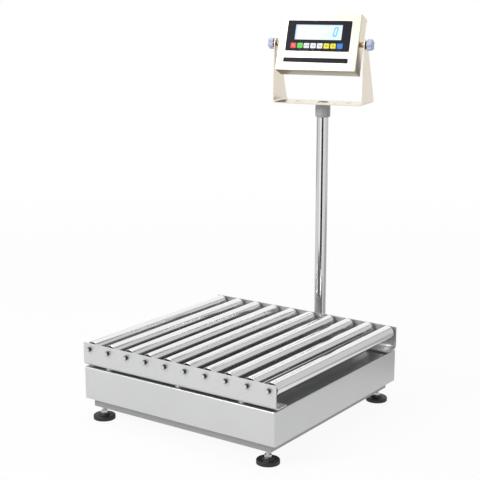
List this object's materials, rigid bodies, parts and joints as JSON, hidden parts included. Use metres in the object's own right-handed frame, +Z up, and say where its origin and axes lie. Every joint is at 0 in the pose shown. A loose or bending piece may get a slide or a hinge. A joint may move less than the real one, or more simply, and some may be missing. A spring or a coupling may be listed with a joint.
{
  "type": "roller top bench scale",
  "caption": "Bench scale with a square deck of free rollers between two rails, on a load cell base with levelling feet; a column at the back holds a tilting indicator.",
  "frame": {"origin": "on the floor, below the middle of the platform, midway between the four feet", "axes": "+X along the goods' travel, +Y across the rollers' travel from the front rail to the column, +Z up"},
  "size_m": [0.613, 0.7928, 1.0616],
  "materials": {
    "satin_steel": "satin, finely brushed",
    "roller_steel": "bright polished",
    "bearing_steel": "ground",
    "axle_steel": "drawn",
    "frame_steel": "satin grey",
    "cell_alloy": "anodised",
    "fastener_zinc": "bright zinc",
    "pad_rubber": "matt black",
    "foot_plastic": "moulded black, bright stud",
    "column_steel": "polished",
    "cap_plastic": "grey",
    "indicator_steel": "horizontally brushed stainless",
    "gland_plastic": "black",
    "film_black": "printed film",
    "display_glass": "lit display",
    "bush_brass": "turned",
    "knob_plastic": "lavender blue",
    "key_red": "domed film key",
    "key_green": "domed film key",
    "key_white": "domed film key",
    "key_yellow": "domed film key",
    "key_blue": "domed film key"
  },
  "bodies": {
    "base": {"base_frame": "frame_steel", "load_cell": "cell_alloy", "load_cell_seats": "fastener_zinc", "load_cell_bolts": "fastener_zinc", "spider_frame": "frame_steel", "platter_pads": "pad_rubber", "overload_stops": "fastener_zinc", "column_socket": "frame_steel", "column_socket_bolts": "fastener_zinc", "column_tube": "column_steel", "column_cap": "cap_plastic", "bracket_snap_ring": "fastener_zinc"},
    "platform": {"platform_cover": "satin_steel", "front_rail": "satin_steel", "rear_rail": "satin_steel", "rail_spacers": "fastener_zinc", "rail_bolts": "fastener_zinc", "roller_axles": "axle_steel"},
    "roller_01": {"roller_tube_01": "roller_steel", "roller_bearings_01": "bearing_steel"},
    "roller_02": {"roller_tube_02": "roller_steel", "roller_bearings_02": "bearing_steel"},
    "roller_03": {"roller_tube_03": "roller_steel", "roller_bearings_03": "bearing_steel"},
    "roller_04": {"roller_tube_04": "roller_steel", "roller_bearings_04": "bearing_steel"},
    "roller_05": {"roller_tube_05": "roller_steel", "roller_bearings_05": "bearing_steel"},
    "roller_06": {"roller_tube_06": "roller_steel", "roller_bearings_06": "bearing_steel"},
    "roller_07": {"roller_tube_07": "roller_steel", "roller_bearings_07": "bearing_steel"},
    "roller_08": {"roller_tube_08": "roller_steel", "roller_bearings_08": "bearing_steel"},
    "roller_09": {"roller_tube_09": "roller_steel", "roller_bearings_09": "bearing_steel"},
    "roller_10": {"roller_tube_10": "roller_steel", "roller_bearings_10": "bearing_steel"},
    "foot_front_left": {"levelling_foot_front_left": "foot_plastic"},
    "foot_front_right": {"levelling_foot_front_right": "foot_plastic"},
    "foot_rear_left": {"levelling_foot_rear_left": "foot_plastic"},
    "foot_rear_right": {"levelling_foot_rear_right": "foot_plastic"},
    "bracket": {"indicator_bracket": "indicator_steel"},
    "housing": {"housing_shell": "indicator_steel", "housing_back": "indicator_steel", "back_screws": "gland_plastic", "cable_glands": "gland_plastic", "panel_films": "film_black", "display_window": "display_glass", "pivot_bushes": "bush_brass"},
    "knob_left": {"tilt_knob_left": "knob_plastic"},
    "knob_right": {"tilt_knob_right": "knob_plastic"},
    "key_1": {"panel_key_1": "key_red"},
    "key_2": {"panel_key_2": "key_green"},
    "key_3": {"panel_key_3": "key_white"},
    "key_4": {"panel_key_4": "key_white"},
    "key_5": {"panel_key_5": "key_white"},
    "key_6": {"panel_key_6": "key_yellow"},
    "key_7": {"panel_key_7": "key_yellow"},
    "key_8": {"panel_key_8": "key_blue"}
  },
  "joints": [
    {"name": "platform_lift", "type": "slide", "parent": "base", "child": "platform", "axis": [0, 0, 1], "range_m": [0, 0.1]},
    {"name": "roller_01_spin", "type": "hinge", "parent": "platform", "child": "roller_01", "pos_m": [-0.28575, 0, 0.1968], "axis": [0, 1, 0], "continuous": true},
    {"name": "roller_02_spin", "type": "hinge", "parent": "platform", "child": "roller_02", "pos_m": [-0.22225, 0, 0.1968], "axis": [0, 1, 0], "continuous": true},
    {"name": "roller_03_spin", "type": "hinge", "parent": "platform", "child": "roller_03", "pos_m": [-0.15875, 0, 0.1968], "axis": [0, 1, 0], "continuous": true},
    {"name": "roller_04_spin", "type": "hinge", "parent": "platform", "child": "roller_04", "pos_m": [-0.09525, 0, 0.1968], "axis": [0, 1, 0], "continuous": true},
    {"name": "roller_05_spin", "type": "hinge", "parent": "platform", "child": "roller_05", "pos_m": [-0.03175, 0, 0.1968], "axis": [0, 1, 0], "continuous": true},
    {"name": "roller_06_spin", "type": "hinge", "parent": "platform", "child": "roller_06", "pos_m": [0.03175, 0, 0.1968], "axis": [0, 1, 0], "continuous": true},
    {"name": "roller_07_spin", "type": "hinge", "parent": "platform", "child": "roller_07", "pos_m": [0.09525, 0, 0.1968], "axis": [0, 1, 0], "continuous": true},
    {"name": "roller_08_spin", "type": "hinge", "parent": "platform", "child": "roller_08", "pos_m": [0.15875, 0, 0.1968], "axis": [0, 1, 0], "continuous": true},
    {"name": "roller_09_spin", "type": "hinge", "parent": "platform", "child": "roller_09", "pos_m": [0.22225, 0, 0.1968], "axis": [0, 1, 0], "continuous": true},
    {"name": "roller_10_spin", "type": "hinge", "parent": "platform", "child": "roller_10", "pos_m": [0.28575, 0, 0.1968], "axis": [0, 1, 0], "continuous": true},
    {"name": "foot_front_left_level", "type": "slide", "parent": "base", "child": "foot_front_left", "axis": [0, 0, -1], "range_m": [-0.01, 0.01]},
    {"name": "foot_front_right_level", "type": "slide", "parent": "base", "child": "foot_front_right", "axis": [0, 0, -1], "range_m": [-0.01, 0.01]},
    {"name": "foot_rear_left_level", "type": "slide", "parent": "base", "child": "foot_rear_left", "axis": [0, 0, -1], "range_m": [-0.01, 0.01]},
    {"name": "foot_rear_right_level", "type": "slide", "parent": "base", "child": "foot_rear_right", "axis": [0, 0, -1], "range_m": [-0.01, 0.01]},
    {"name": "bracket_swivel", "type": "hinge", "parent": "base", "child": "bracket", "pos_m": [0, 0.398, 0.808], "axis": [0, 0, 1], "range_deg": [-102, 78]},
    {"name": "housing_tilt", "type": "hinge", "parent": "bracket", "child": "housing", "pos_m": [0.00609, 0.36934, 0.9767], "axis": [0.9781, 0.2079, 0], "range_deg": [-70, 50]},
    {"name": "knob_left_turn", "type": "hinge", "parent": "housing", "child": "knob_left", "pos_m": [0.00609, 0.36934, 0.9767], "axis": [0.9781, 0.2079, 0], "continuous": true},
    {"name": "knob_right_turn", "type": "hinge", "parent": "housing", "child": "knob_right", "pos_m": [0.00609, 0.36934, 0.9767], "axis": [0.9781, 0.2079, 0], "continuous": true},
    {"name": "key_1_press", "type": "slide", "parent": "housing", "child": "key_1", "axis": [-0.1954, 0.9192, -0.342], "range_m": [0, 0.00035], "stiffness_N_per_m": 4000},
    {"name": "key_2_press", "type": "slide", "parent": "housing", "child": "key_2", "axis": [-0.1954, 0.9192, -0.342], "range_m": [0, 0.00035], "stiffness_N_per_m": 4000},
    {"name": "key_3_press", "type": "slide", "parent": "housing", "child": "key_3", "axis": [-0.1954, 0.9192, -0.342], "range_m": [0, 0.00035], "stiffness_N_per_m": 4000},
    {"name": "key_4_press", "type": "slide", "parent": "housing", "child": "key_4", "axis": [-0.1954, 0.9192, -0.342], "range_m": [0, 0.00035], "stiffness_N_per_m": 4000},
    {"name": "key_5_press", "type": "slide", "parent": "housing", "child": "key_5", "axis": [-0.1954, 0.9192, -0.342], "range_m": [0, 0.00035], "stiffness_N_per_m": 4000},
    {"name": "key_6_press", "type": "slide", "parent": "housing", "child": "key_6", "axis": [-0.1954, 0.9192, -0.342], "range_m": [0, 0.00035], "stiffness_N_per_m": 4000},
    {"name": "key_7_press", "type": "slide", "parent": "housing", "child": "key_7", "axis": [-0.1954, 0.9192, -0.342], "range_m": [0, 0.00035], "stiffness_N_per_m": 4000},
    {"name": "key_8_press", "type": "slide", "parent": "housing", "child": "key_8", "axis": [-0.1954, 0.9192, -0.342], "range_m": [0, 0.00035], "stiffness_N_per_m": 4000}
  ]
}
